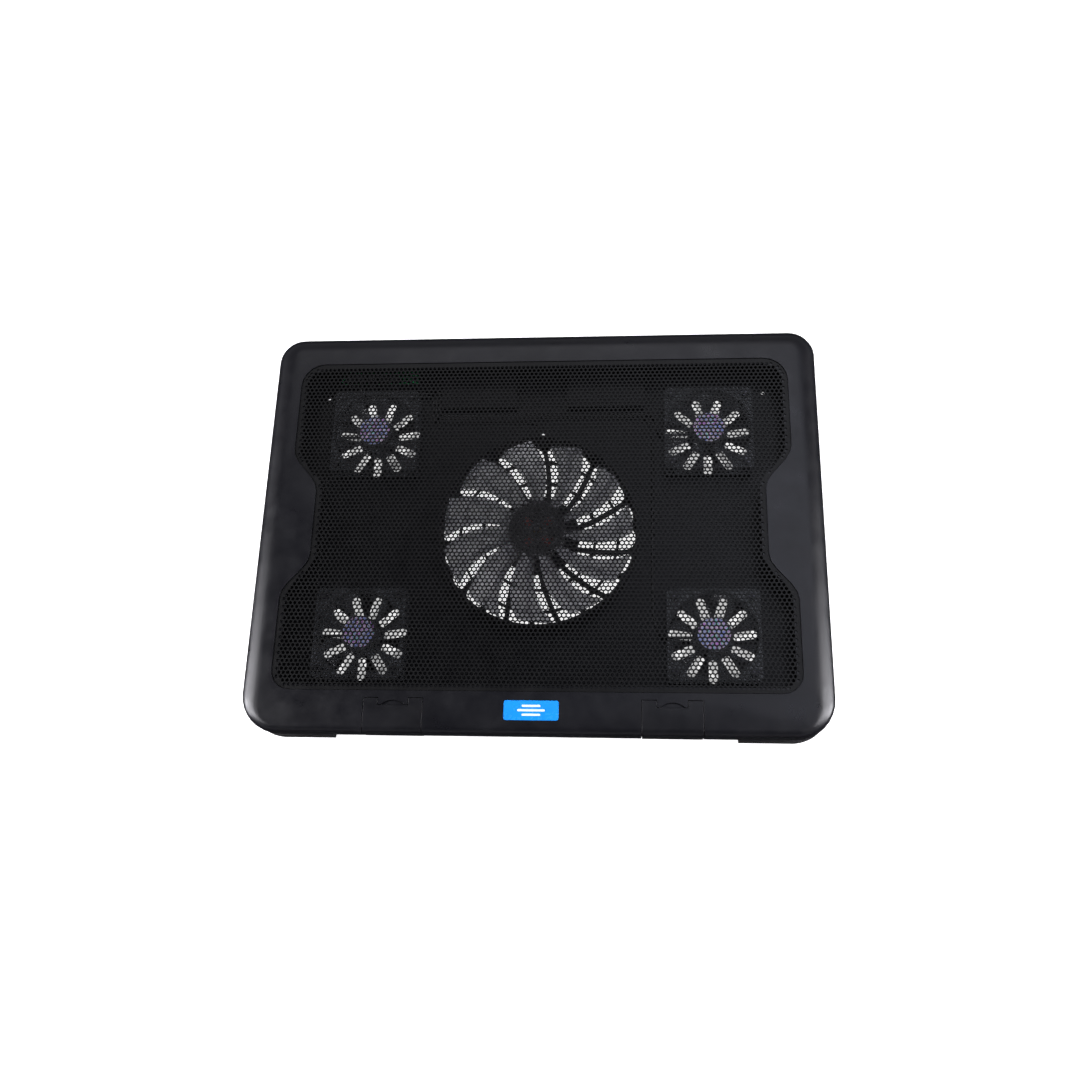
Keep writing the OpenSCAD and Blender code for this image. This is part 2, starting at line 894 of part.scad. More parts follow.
// One blade as a closed sheet, swept and pitched between its hub and its tip.
// chord is the blade's width in millimetres at [hub, tip], z its [low, high] edge.
module blade(r1, r2, chord, z, sweep, t) {
    nr = 5;
    ns = 4;
    function at(i, j, side) =
        let (
            u = i / nr,
            s = j / ns - 0.5,
            r = r1 + (r2 - r1) * u,
            a = sweep * u * u + s * (chord[0] + (chord[1] - chord[0]) * u) / r * 180 / PI,
            mid = (z[0] + z[1]) / 2 - s * (z[1] - z[0] - t) + (0.25 - s * s) * 2
        )
        [r * cos(a), r * sin(a), mid + side * t / 2];
    row = ns + 1;
    sheet = row * (nr + 1);
    points = [for (side = [-1, 1], i = [0:nr], j = [0:ns]) at(i, j, side)];
    function id(i, j, top) = top * sheet + i * row + j;
    function quad(a, b, c, d) = [[a, b, c], [a, c, d]];
    faces = concat(
        [for (i = [0:nr - 1], j = [0:ns - 1])
            each quad(id(i, j, 0), id(i + 1, j, 0), id(i + 1, j + 1, 0), id(i, j + 1, 0))],
        [for (i = [0:nr - 1], j = [0:ns - 1])
            each quad(id(i, j, 1), id(i, j + 1, 1), id(i + 1, j + 1, 1), id(i + 1, j, 1))],
        [for (j = [0:ns - 1])
            each quad(id(0, j, 0), id(0, j + 1, 0), id(0, j + 1, 1), id(0, j, 1))],
        [for (j = [0:ns - 1])
            each quad(id(nr, j, 0), id(nr, j, 1), id(nr, j + 1, 1), id(nr, j + 1, 0))],
        [for (i = [0:nr - 1])
            each quad(id(i, 0, 0), id(i, 0, 1), id(i + 1, 0, 1), id(i + 1, 0, 0))],
        [for (i = [0:nr - 1])
            each quad(id(i, ns, 0), id(i + 1, ns, 0), id(i + 1, ns, 1), id(i, ns, 1))]
    );
    polyhedron(points = points, faces = faces);
}

// A cup with blades round it. hub is [radius, wall, top wall, low z, high z].
module rotor(hub, stem, blades, tip_r, chord, sweep) {
    difference() {
        union() {
            difference() {
                translate([0, 0, hub[3]])
                    cylinder(r = hub[0], h = hub[4] - hub[3], $fn = 96);
                translate([0, 0, hub[3] - eps])
                    cylinder(r = hub[0] - hub[1], h = hub[4] - hub[3] - hub[2] + eps, $fn = 96);
            }
            translate([0, 0, hub[4] - hub[2] - stem[1]])
                cylinder(r = stem[0] * 2.2, h = stem[1] + 0.5, $fn = round_fn);
            for (n = [0:blades - 1])
                rotate(n * 360 / blades)
                    blade(hub[0] - hub[1] / 2, tip_r, chord, [hub[3] + 0.4, hub[4] - 0.6], sweep, blade_t);
        }
        translate([0, 0, hub[4] - hub[2] - stem[1] - eps])
            cylinder(r = stem[0], h = stem[1] + eps, $fn = round_fn);
    }
}

// A ring standing between two heights
module ring(r_in, r_out, z1, z2) {
    translate([0, 0, z1])
        difference() {
            cylinder(r = r_out, h = z2 - z1, $fn = 96);
            translate([0, 0, -eps])
                cylinder(r = r_in, h = z2 - z1 + 2 * eps, $fn = 96);
        }
}

// Laminated core: a hub ring, arms and curved pole shoes
module stator_core(r_in, r_hub, r_shoe, r_out, arm, z1, z2) {
    translate([0, 0, z1])
        linear_extrude(z2 - z1)
            difference() {
                union() {
                    circle(r = r_hub, $fn = 96);
                    for (n = [0:poles - 1])
                        rotate(45 + n * 360 / poles)
                            translate([0, -arm / 2])
                                square([r_shoe + 0.5, arm]);
                    difference() {
                        circle(r = r_out, $fn = 96);
                        circle(r = r_shoe, $fn = 96);
                        for (n = [0:poles - 1])
                            rotate(n * 360 / poles)
                                translate([r_out, 0])
                                    square([r_out * 1.2, r_out * 0.4], center = true);
                    }
                }
                circle(r = r_in, $fn = 96);
            }
}

// Windings round the core's arms
module stator_coils(r1, r2, arm, high, z) {
    for (n = [0:poles - 1])
        rotate(45 + n * 360 / poles)
            translate([r1, 0, z])
                difference() {
                    rotate([0, 90, 0])
                        cylinder(r = high / 2, h = r2 - r1, $fn = round_fn);
                    translate([-eps, -arm / 2, -arm / 2])
                        cube([r2 - r1 + 2 * eps, arm, arm]);
                }
}

module fan_frame(k) {
    half = fan_size / 2;
    color([0.75, 0.78, 0.8, 0.5])
        translate([FAN_CENTERS[k][0], FAN_CENTERS[k][1], 0])
            difference() {
                union() {
                    for (z = [fan_z, fan_top - flange_t])
                        translate([0, 0, z])
                            linear_extrude(flange_t)
                                difference() {
                                    rounded_rect(fan_size, fan_size, frame_corner_r);
                                    circle(r = bore_r, $fn = 96);
                                }
                    ring(bore_r, bore_r + duct_wall, fan_z, fan_top);
                    at_fan_holes([0, 0])
                        translate([0, 0, fan_z])
                            cylinder(r = post_r, h = fan_t, $fn = round_fn);
                    translate([0, 0, fan_z])
                        cylinder(r = base_r, h = base_t, $fn = 96);
                    for (n = [0:struts - 1])
                        rotate(180 + n * 360 / struts)
                            translate([base_r - 1, -strut_w / 2, fan_z])
                                cube([bore_r - base_r + 1.5, strut_w, base_t]);
                    translate([0, 0, fan_z])
                        cylinder(r = sleeve_r + tube_wall, h = tube_top - fan_z, $fn = round_fn);
                }
                at_fan_holes([0, 0])
                    translate([0, 0, fan_z - eps])
                        cylinder(r = hole_r, h = fan_t + 2 * eps, $fn = round_fn);
                translate([0, 0, fan_z + 0.6])
                    cylinder(r = sleeve_r, h = fan_t, $fn = round_fn);
                translate([-half - eps, -lead_d / 2 - 0.3, fan_z + base_t])
                    cube([half - bore_r + 3 + eps, lead_d + 0.6, lead_d + 0.5]);
            }
}

module fan_rotor(k) {
    color([0.6, 0.62, 0.68, 0.5])
        translate([FAN_CENTERS[k][0], FAN_CENTERS[k][1], 0])
            rotate(k * fan_turn)
                rotor([hub_r, cup_wall, cup_top, rotor_z, rotor_top], [shaft_r, stem_h],
                    fan_blades, bore_r - tip_gap, fan_chord, fan_sweep);
}

module fan_magnet(k) {
    color([0.12, 0.12, 0.13])
        translate([FAN_CENTERS[k][0], FAN_CENTERS[k][1], 0])
            rotate(k * fan_turn)
                ring(cup_in_r - magnet_t, cup_in_r, rotor_z + magnet_gap, rotor_top - cup_top - magnet_gap);
}

module fan_shaft(k) {
    color([0.75, 0.75, 0.77])
        translate([FAN_CENTERS[k][0], FAN_CENTERS[k][1], fan_z + 0.7])
            rotate(k * fan_turn)
                cylinder(r = shaft_r, h = rotor_top - cup_top - fan_z - 0.7, $fn = round_fn);
}

module fan_bearing(k) {
    color([0.72, 0.55, 0.25])
        translate([FAN_CENTERS[k][0], FAN_CENTERS[k][1], 0])
            ring(shaft_r + run_gap, sleeve_r, fan_z + 1, tube_top - sleeve_sink);
}

module fan_stator(k) {
    r_in = sleeve_r + tube_wall;
    r_hub = r_in + 1.4;
    color([0.72, 0.4, 0.2])
        translate([FAN_CENTERS[k][0], FAN_CENTERS[k][1], 0]) {
            stator_core(r_in, r_hub, stator_r - shoe_t, stator_r, core_arm, stator_z, stator_z + core_h);
            stator_coils(r_hub - 0.1, stator_r - shoe_t + 0.1, core_arm, 4.6, stator_z + core_h / 2);
        }
}

module center_rotor() {
    color([0.25, 0.25, 0.28, 0.6])
        translate([0, mid_y, 0])
            rotate(big_phase)
                difference() {
                    rotor([big_hub_r, big_cup_wall, big_cup_top, big_rotor_z, big_rotor_top],
                        [big_shaft_r, stem_h + 1], big_blades, big_tip_r, big_chord, big_sweep);
                    ring(hub_groove[0], hub_groove[1], big_rotor_top - 0.6, big_rotor_top + eps);
                }
}

module center_magnet() {
    color([0.12, 0.12, 0.13])
        translate([0, mid_y, 0])
            rotate(big_phase)
                ring(big_cup_in - big_magnet_t, big_cup_in, big_rotor_z + magnet_gap,
                    big_rotor_top - big_cup_top - magnet_gap);
}

module center_shaft() {
    color([0.75, 0.75, 0.77])
        translate([0, mid_y, floor_z - 0.4])
            rotate(big_phase)
                cylinder(r = big_shaft_r, h = big_rotor_top - big_cup_top - floor_z + 0.4, $fn = round_fn);
}

module center_bearing() {
    color([0.72, 0.55, 0.25])
        translate([0, mid_y, 0])
            ring(big_shaft_r + run_gap, big_sleeve_r, floor_z, big_tube_top - sleeve_sink);
}

module center_stator() {
    color([0.5, 0.5, 0.52])
        translate([0, mid_y, 0])
            stator_core(big_stator_in, big_stator_in + 2, big_stator_r - big_shoe_t, big_stator_r,
                big_core_arm, big_stator_z, big_stator_z + big_core_h);
}

module center_coils() {
    color([0.72, 0.35, 0.18])
        translate([0, mid_y, 0])
            stator_coils(big_stator_in + 2.1, big_stator_r - big_shoe_t - 0.6, big_core_arm, 5.6,
                big_stator_z + big_core_h / 2);
}

// ---- Electronics ----

module control_board() {
    color([0.05, 0.25, 0.12])
        difference() {
            union() {
                translate([board_x1, board_y1, board_z])
                    cube([board_w, board_d, board_t]);
                translate([board_x1 + 22, board_y1 + 9, board_top])
                    cube([5, 4, 1.2]);
                translate([board_x2 - 9, board_y1 + 11, board_top])
                    cylinder(r = 2.5, h = 4.5, $fn = round_fn);
                translate([board_x1 + 43, board_y1 + 9, board_top])
                    cube([4, 4, 2.2]);
            }
            for (p = BOARD_SCREWS)
                translate([p[0], p[1], board_z - eps])
                    cylinder(r = board_screw_r + 0.2, h = board_t + 2 * eps, $fn = round_fn);
        }
}

module board_screws() {
    color([0.75, 0.75, 0.77])
        for (p = BOARD_SCREWS)
            translate([p[0], p[1], 0]) {
                translate([0, 0, floor_z])
                    cylinder(r = board_screw_r, h = board_top - floor_z + 0.2, $fn = round_fn);
                translate([0, 0, board_top])
                    cylinder(r = board_screw_r + 0.8, h = 1.1, $fn = round_fn);
            }
}

module usb_socket(k) {
    color([0.78, 0.78, 0.8])
        translate([usb_xs[k] - usb_w / 2, usb_face_y - usb_len, board_top])
            difference() {
                cube([usb_w, usb_len, usb_h]);
                translate([usb_wall, usb_back, usb_wall])
                    cube([usb_w - 2 * usb_wall, usb_len, usb_h - 2 * usb_wall]);
            }
}

module switch_body() {
    color([0.6, 0.6, 0.62])
        translate([switch_x + switch_travel / 2 - switch_w / 2, switch_back_y - switch_d, board_top])
            cube([switch_w, switch_d, switch_h]);
}

module switch_knob() {
    color([0.1, 0.1, 0.1])
        translate([switch_x - knob_w / 2, switch_back_y, knob_z - knob_h / 2])
            cube([knob_w, back_y - switch_back_y, knob_h]);
}

module lead_plugs() {
    color([0.9, 0.88, 0.82])
        for (n = [0:4])
            translate([plug_x0 + n * plug_pitch - plug_w / 2, plug_y, board_top])
                cube([plug_w, plug_d, plug_h]);
}

// ---- Fan leads ----

// From a corner fan's base, out over its strut and down to the floor
function fan_exit(k) =
    let (c = FAN_CENTERS[k], z = fan_z + base_t + lead_r + 0.05)
    [
        [c[0] - base_r + 0.6, c[1], z],
        [c[0] - base_r - 6, c[1], z],
        [c[0] - bore_r + 1, c[1], z],
        [c[0] - fan_size / 2 - 0.6, c[1], z],
        [c[0] - fan_size / 2 - 2.4, c[1] + 0.8, z - 1.3]
    ];

// Up from the floor into plug n, counted from the outer end of the board
function plug_entry(n) =
    let (x = plug_x0 + n * plug_pitch)
    [[x, plug_y - 3.4, (lead_z + plug_z) / 2], [x, plug_y - 1.4, plug_z], [x, plug_y, plug_z]];

// From the middle of the pad round the rear left fan to plug n; step 0 is the inner lead
function bundle_to_plug(step, n) =
    let (
        x = bundle_x - 2.4 + step * lead_pitch,
        y = rear_fan_y + fan_size / 2 + 3.2 + step * lead_pitch,
        b = bundle_y - 4.8 + step * lead_pitch,
        px = plug_x0 + n * plug_pitch
    )
    concat(
        [[x + 8, b, lead_z], [x + 1.5, b + 1.5, lead_z], [x, b + 8, lead_z],
            [x, y - 5, lead_z], [x - 1.5, y - 1, lead_z], [x - 7, y, lead_z],
            [px + 5, y, lead_z], [px + 1, y + 1, lead_z + 0.3]],
        plug_entry(n)
    );

front_left_route = concat(
    fan_exit(0),
    [[-fan_x - fan_size / 2 - 4.4, front_fan_y + 4, lead_z],
        [-fan_x - fan_size / 2 - 5.4, front_fan_y + 14, lead_z],
        [-fan_x - fan_size / 2 - 5.4, mid_y, lead_z],
        [-fan_x - fan_size / 2 - 5.4, rear_fan_y + fan_size / 2, lead_z],
        [plug_x0 - 11.4, plug_y - 6.4, lead_z],
        [plug_x0 - 5, plug_y - 4.6, lead_z],
        [plug_x0 - 1, plug_y - 4.4, lead_z + 0.4]],
    plug_entry(0)
);
rear_left_route = concat(
    fan_exit(2),
    [[-fan_x - fan_size / 2 - 3, rear_fan_y + 5, lead_z],
        [-fan_x - fan_size / 2 - 3, rear_fan_y + 12, lead_z],
        [-fan_x - fan_size / 2 - 2.8, rear_fan_y + fan_size / 2, lead_z],
        [plug_x0 - 6, rear_fan_y + fan_size / 2 + 4, lead_z],
        [plug_x0 + plug_pitch - 4, plug_y - 7.6, lead_z],
        [plug_x0 + plug_pitch - 1, plug_y - 5.4, lead_z + 0.3]],
    plug_entry(1)
);
front_right_route = concat(
    fan_exit(1),
    [[fan_x - fan_size / 2 - 5, front_fan_y + 5, lead_z],
        [fan_x - fan_size / 2 - 8.4, front_fan_y + 16, lead_z],
        [fan_x - fan_size / 2 - 8.4, mid_y, lead_z],
        [fan_x - fan_size / 2 - 8.4, bundle_y - 12, lead_z],
        [fan_x - fan_size / 2 - 10.4, bundle_y - 6.4, lead_z],
        [fan_x - fan_size / 2 - 15, bundle_y - 4.8 + lead_pitch + 0.3, lead_z],
        [fan_x - fan_size / 2 - 21, bundle_y - 4.8 + lead_pitch, lead_z],
        [0, bundle_y - 4.8 + lead_pitch, lead_z]],
    bundle_to_plug(1, 3)
);
rear_right_route = concat(
    fan_exit(3),
    [[fan_x - fan_size / 2 - 4.4, rear_fan_y + 4, lead_z],
        [fan_x - fan_size / 2 - 5.2, rear_fan_y + 9, lead_z],
        [fan_x - fan_size / 2 - 7, bundle_y - 3.4, lead_z],
        [fan_x - fan_size / 2 - 11.4, bundle_y - 0.4, lead_z],
        [fan_x - fan_size / 2 - 18, bundle_y, lead_z],
        [0, bundle_y, lead_z]],
    bundle_to_plug(2, 4)
);
center_route = concat(
    [for (r = [big_disc_r - 7, big_disc_r + 2, 39, 47, 55, big_r + 3])
        let (p = guard_point(r, lead_rib)) [p[0], mid_y + p[1], lead_z]],
    [[guard_point(big_r, lead_rib)[0] - 4, bundle_y - 8.4, lead_z],
        [guard_point(big_r, lead_rib)[0] - 9, bundle_y - 5.4, lead_z],
        [guard_point(big_r, lead_rib)[0] - 18, bundle_y - 4.8, lead_z]],
    bundle_to_plug(0, 2)
);

// A smooth curve through the points of a route, n steps to a stretch
function curve_at(a, b, c, d, t) =
    let (
        len = norm(c - b),
        start = len * (c - a) / (norm(b - a) + len),
        end = len * (d - b) / (len + norm(d - c)),
        u = 1 - t
    )
    u * u * (1 + 2 * t) * b + t * t * (3 - 2 * t) * c + t * u * u * start - t * t * u * end;
function smooth(p, n) = concat(
    [for (i = [0:len(p) - 2], s = [0:n - 1])
        curve_at(p[max(i - 1, 0)], p[i], p[i + 1], p[min(i + 2, len(p) - 1)], s / n)],
    [p[len(p) - 1]]
);

// A round tube swept along a route
module tube(route, r) {
    p = smooth(route, 2);
    n = len(p);
    sides = 8;
    function along(i) =
        let (d = i == 0 ? route[1] - route[0] : i == n - 1 ? p[n - 1] - route[len(route) - 2] : p[i + 1] - p[i - 1])
        d / norm(d);
    points = [
        for (i = [0:n - 1])
            let (
                t = along(i),
                side = cross([0, 0, 1], t) / norm(cross([0, 0, 1], t)),
                up = cross(t, side)
            )
            for (k = [0:sides - 1])
                let (a = (k + 0.5) * 360 / sides)
                p[i] + r * (cos(a) * side + sin(a) * up)
    ];
    faces = concat(
        [[for (k = [0:sides - 1]) k]],
        [[for (k = [0:sides - 1]) (n - 1) * sides + sides - 1 - k]],
        [for (i = [0:n - 2], k = [0:sides - 1])
            let (a = i * sides + k, b = i * sides + (k + 1) % sides)
            each [[a, a + sides, b + sides], [a, b + sides, b]]]
    );
    polyhedron(points = points, faces = faces);
}

module fan_leads() {
    color([0.04, 0.04, 0.045])
        for (route = [front_left_route, front_right_route, rear_left_route, rear_right_route, center_route])
            tube(route, lead_r);
}

// ---- Screws ----

module shell_screws() {
    head_z = stand_h + boss_sink_h - screw_head_h;
    color([0.2, 0.2, 0.21])
        for (p = SHELL_SCREWS)
            translate([p[0], p[1], head_z]) {
                cylinder(r = screw_head_r, h = screw_head_h, $fn = round_fn);
                cylinder(r = screw_r, h = screw_end_z - head_z, $fn = round_fn);
            }
}

module fan_screws() {
    color([0.2, 0.2, 0.21])
        for (c = FAN_CENTERS)
            at_fan_holes(c)
                translate([0, 0, fan_top]) {
                    cylinder(r = fan_screw_head_r, h = fan_screw_head_h, $fn = round_fn);
                    translate([0, 0, -fan_t - fan_screw_bite + 0.2])
                        cylinder(r = fan_screw_r, h = fan_t + fan_screw_bite, $fn = round_fn);
                }
}

top_shell();
mesh_panel();
bottom_shell();
badge_plate();
badge_mark();
stop_flap(-1);  // left_stop
stop_flap(1);  // right_stop
stop_pin(-1);  // left_stop_pin
stop_pin(1);  // right_stop_pin
rear_foot(-1);  // left_rear_foot
rear_foot(1);  // right_rear_foot
foot_pin(-1);  // left_foot_pin
foot_pin(1);  // right_foot_pin
foot_tip(-1);  // left_foot_tip
foot_tip(1);  // right_foot_tip
front_pad(-1);  // left_front_pad
front_pad(1);  // right_front_pad
rear_pads();
center_rotor();
center_magnet();
center_shaft();
center_bearing();
center_stator();
center_coils();
fan_frame(0);  // front_left_frame
fan_rotor(0);  // front_left_rotor
fan_magnet(0);  // front_left_magnet
fan_shaft(0);  // front_left_shaft
fan_bearing(0);  // front_left_bearing
fan_stator(0);  // front_left_stator
fan_frame(1);  // front_right_frame
fan_rotor(1);  // front_right_rotor
fan_magnet(1);  // front_right_magnet
fan_shaft(1);  // front_right_shaft
fan_bearing(1);  // front_right_bearing
fan_stator(1);  // front_right_stator
fan_frame(2);  // rear_left_frame
fan_rotor(2);  // rear_left_rotor
fan_magnet(2);  // rear_left_magnet
fan_shaft(2);  // rear_left_shaft
fan_bearing(2);  // rear_left_bearing
fan_stator(2);  // rear_left_stator
fan_frame(3);  // rear_right_frame
fan_rotor(3);  // rear_right_rotor
fan_magnet(3);  // rear_right_magnet
fan_shaft(3);  // rear_right_shaft
fan_bearing(3);  // rear_right_bearing
fan_stator(3);  // rear_right_stator
control_board();
usb_socket(0);  // outer_usb_socket
usb_socket(1);  // inner_usb_socket
switch_body();
switch_knob();
lead_plugs();
fan_leads();
shell_screws();
fan_screws();
board_screws();
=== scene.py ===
"""Looks of the laptop cooling pad: fine steel mesh, rounded edges, materials, light and camera."""

import json
import math

import bmesh
import bpy
import numpy as np
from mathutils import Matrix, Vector
from mathutils.geometry import delaunay_2d_cdt

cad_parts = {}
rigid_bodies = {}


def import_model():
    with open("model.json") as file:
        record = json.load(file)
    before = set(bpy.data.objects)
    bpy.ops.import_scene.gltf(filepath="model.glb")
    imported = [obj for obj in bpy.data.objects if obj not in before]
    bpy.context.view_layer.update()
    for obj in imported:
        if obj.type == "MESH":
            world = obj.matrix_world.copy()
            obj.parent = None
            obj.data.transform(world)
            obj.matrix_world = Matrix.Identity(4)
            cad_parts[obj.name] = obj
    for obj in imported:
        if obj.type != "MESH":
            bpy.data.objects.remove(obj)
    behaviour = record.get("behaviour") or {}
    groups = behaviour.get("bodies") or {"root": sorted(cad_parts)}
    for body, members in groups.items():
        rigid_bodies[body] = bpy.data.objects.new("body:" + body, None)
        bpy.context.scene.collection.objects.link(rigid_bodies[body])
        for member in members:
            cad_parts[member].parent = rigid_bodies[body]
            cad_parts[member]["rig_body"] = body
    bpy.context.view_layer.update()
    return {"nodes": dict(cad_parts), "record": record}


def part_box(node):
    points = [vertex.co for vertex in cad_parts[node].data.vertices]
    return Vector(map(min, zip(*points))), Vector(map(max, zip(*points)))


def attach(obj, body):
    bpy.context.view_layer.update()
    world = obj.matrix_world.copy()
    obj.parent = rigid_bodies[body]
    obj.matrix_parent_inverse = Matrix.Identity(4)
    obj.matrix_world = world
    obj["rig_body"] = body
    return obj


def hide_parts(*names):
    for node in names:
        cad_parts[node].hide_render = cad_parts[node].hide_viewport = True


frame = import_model()

MM = 0.001
CORNERS = ["front_left", "front_right", "rear_left", "rear_right"]
SOCKETS = ["outer_usb_socket", "inner_usb_socket"]


# ---- Mesh helpers ----

def new_piece(name, verts, faces, body, material):
    """A mesh object made from points and faces in metres, riding on a body."""
    mesh = bpy.data.meshes.new(name)
    mesh.from_pydata([tuple(v) for v in verts], [], [tuple(f) for f in faces])
    mesh.update()
    return finish_piece(name, mesh, body, material)


def finish_piece(name, mesh, body, material):
    """Links a finished mesh, gives it its material, and hangs it on its body."""
    piece = bpy.data.objects.new(name, mesh)
    bpy.context.scene.collection.objects.link(piece)
    mesh.materials.clear()
    mesh.materials.append(material)
    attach(piece, body)
    return piece


WELD = 2e-6
FLAT_WITHIN = math.radians(0.4)
SMOOTH_BELOW = math.radians(32)
ROUND_ABOVE = math.radians(38)


def soften(name, width):
    """A CAD node's own shape with welded facets, smooth curved faces and its edges rounded over."""
    source = frame["nodes"][name]
    mesh = source.data.copy()
    mesh.name = name + "_skin"
    work = bmesh.new()
    work.from_mesh(mesh)
    bmesh.ops.remove_doubles(work, verts=work.verts, dist=WELD)
    bmesh.ops.dissolve_limit(work, angle_limit=FLAT_WITHIN, verts=work.verts, edges=work.edges)
    for face in work.faces:
        face.smooth = True
    for edge in work.edges:
        edge.smooth = len(edge.link_faces) == 2 and edge.calc_face_angle(0) < SMOOTH_BELOW
    work.to_mesh(mesh)
    work.free()
    if "custom_normal" in mesh.attributes:
        mesh.attributes.remove(mesh.attributes["custom_normal"])
    piece = finish_piece(name + "_skin", mesh, source["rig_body"], source.data.materials[0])
    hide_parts(name)
    if width:
        edges = piece.modifiers.new("rounded", "BEVEL")
        edges.width = width
        edges.segments = 2
        edges.limit_method = "ANGLE"
        edges.angle_limit = ROUND_ABOVE
        edges.harden_normals = True
        edges.use_clamp_overlap = True


# ---- Material helpers ----

class Shader:
    """A small wrapper that adds nodes to one material and links them."""

    def __init__(self, name):
        self.material = bpy.data.materials.new(name)
        self.material.use_nodes = True
        self.tree = self.material.node_tree
        self.bsdf = self.tree.nodes["Principled BSDF"]
        self.place = self.tree.nodes.new("ShaderNodeTexCoord").outputs["Object"]

    def add(self, kind, **values):
        """A new node with its properties set."""
        node = self.tree.nodes.new(kind)
        for key, value in values.items():
            setattr(node, key, value)
        return node

    def link(self, output, socket):
        self.tree.links.new(output, socket)

    def set(self, **values):
        """Uniform values on the shader's own sockets; an underscore stands for a space."""
        for key, value in values.items():
            self.bsdf.inputs[key.replace("_", " ")].default_value = value

    def noise(self, scale, detail=3.0, rough=0.6, stretch=None):
        """Noise in the piece's own coordinates, stretched along an axis where asked."""
        node = self.add("ShaderNodeTexNoise")
        node.inputs["Scale"].default_value = scale
        node.inputs["Detail"].default_value = detail
        node.inputs["Roughness"].default_value = rough
        place = self.place
        if stretch:
            mapping = self.add("ShaderNodeMapping")
            mapping.inputs["Scale"].default_value = stretch
            self.link(place, mapping.inputs["Vector"])
            place = mapping.outputs["Vector"]
        self.link(place, node.inputs["Vector"])
        return node.outputs["Fac"]

    def ramp(self, fac, stops):
        """A colour for each position of a factor."""
        node = self.add("ShaderNodeValToRGB")
        ramp = node.color_ramp
        while len(ramp.elements) < len(stops):
            ramp.elements.new(0.5)
        for element, (position, color) in zip(ramp.elements, stops):
            element.position = position
            element.color = (*color, 1.0)
        self.link(fac, node.inputs["Fac"])
        return node.outputs["Color"]

    def fade(self, value, start, end, low, high):
        """Goes from low to high while the value goes from start to end."""
        node = self.add("ShaderNodeMapRange")
        node.inputs["From Min"].default_value = start
        node.inputs["From Max"].default_value = end
        node.inputs["To Min"].default_value = low
        node.inputs["To Max"].default_value = high
        self.link(value, node.inputs["Value"])
        return node.outputs["Result"]

    def spread(self, fac, low, high):
        """A noise, which stays mostly between 0.3 and 0.7, spread from low to high."""
        return self.fade(fac, 0.3, 0.7, low, high)

    def bump(self, height, distance, strength, under=None):
        """A bumped normal, on top of another one where given."""
        node = self.add("ShaderNodeBump")
        node.inputs["Distance"].default_value = distance
        node.inputs["Strength"].default_value = strength
        self.link(height, node.inputs["Height"])
        if under:
            self.link(under, node.inputs["Normal"])
        return node.outputs["Normal"]


def shade(color, factor):
    """A colour made darker or lighter."""
    return tuple(min(1.0, c * factor) for c in color)


def moulded(name, color, rough, grain=1500.0, depth=2e-5, spread=0.16, blotch=0.12, shine=0.4):
    """Moulded plastic: spark-eroded grain, slow tone changes and uneven gloss."""
    s = Shader(name)
    tone = s.noise(22.0, 4.0)
    s.link(s.ramp(tone, [(0.3, shade(color, 1 - blotch)), (0.7, shade(color, 1 + blotch))]),
           s.bsdf.inputs["Base Color"])
    s.link(s.spread(s.noise(60.0, 5.0, 0.7), rough - spread / 2, rough + spread / 2),
           s.bsdf.inputs["Roughness"])
    fine = s.bump(s.noise(grain, 2.0, 0.5), depth, 0.6)
    s.link(s.bump(tone, depth * 4, 0.25, fine), s.bsdf.inputs["Normal"])
    s.set(Specular_IOR_Level=shine)
    return s


def metal(name, color, rough, stretch=(1, 1, 1)):
    """Metal with drawing marks along one direction."""
    s = Shader(name)
    marks = s.noise(900.0, 4.0, 0.7, stretch)
    s.link(s.ramp(marks, [(0.25, shade(color, 0.8)), (0.75, shade(color, 1.12))]),
           s.bsdf.inputs["Base Color"])
    s.link(s.spread(marks, rough * 0.7, rough * 1.3), s.bsdf.inputs["Roughness"])
    s.link(s.bump(marks, 4e-6, 0.5), s.bsdf.inputs["Normal"])
    s.set(Metallic=1.0)
    return s


def see_through(name, color, alpha, rough, cloud):
    """Thin tinted plastic that lets the light of the table through."""
    s = Shader(name)
    tone = s.noise(cloud, 3.0)
    s.link(s.ramp(tone, [(0.3, shade(color, 0.75)), (0.7, shade(color, 1.25))]),
           s.bsdf.inputs["Base Color"])
    s.link(s.spread(tone, alpha - 0.05, alpha + 0.05), s.bsdf.inputs["Alpha"])
    s.link(s.spread(s.noise(180.0, 4.0), rough * 0.7, rough * 1.4), s.bsdf.inputs["Roughness"])
    s.link(s.bump(s.noise(700.0, 2.0), 8e-6, 0.4), s.bsdf.inputs["Normal"])
    s.set(IOR=1.49)
    return s


def darker_hub(s, middle, radius, shades, alphas):
    """Tells a fan's hub from its blades by the distance from the axis.

    Shades and alphas each hold the hub's value and the blades' value.
    """
    shift = s.add("ShaderNodeMapping")
    shift.inputs["Location"].default_value = (-middle.x, -middle.y, 0)
    shift.inputs["Scale"].default_value = (1, 1, 0)
    s.link(s.place, shift.inputs["Vector"])
    reach = s.add("ShaderNodeVectorMath", operation="LENGTH")
    s.link(shift.outputs["Vector"], reach.inputs[0])
    tint = s.add("ShaderNodeVectorMath", operation="SCALE")
    cloud = s.add("ShaderNodeMath", operation="MULTIPLY")
    blend = 0.5 * MM
    for (hub, blades), socket in ((shades, tint.inputs["Scale"]), (alphas, cloud.inputs[0])):
        s.link(s.fade(reach.outputs["Value"], radius - blend, radius + blend, hub, blades), socket)
    s.link(s.bsdf.inputs["Base Color"].links[0].from_socket, tint.inputs[0])
    s.link(tint.outputs["Vector"], s.bsdf.inputs["Base Color"])
    s.link(s.spread(s.noise(90.0, 3.0), 0.93, 1.05), cloud.inputs[1])
    s.link(cloud.outputs["Value"], s.bsdf.inputs["Alpha"])


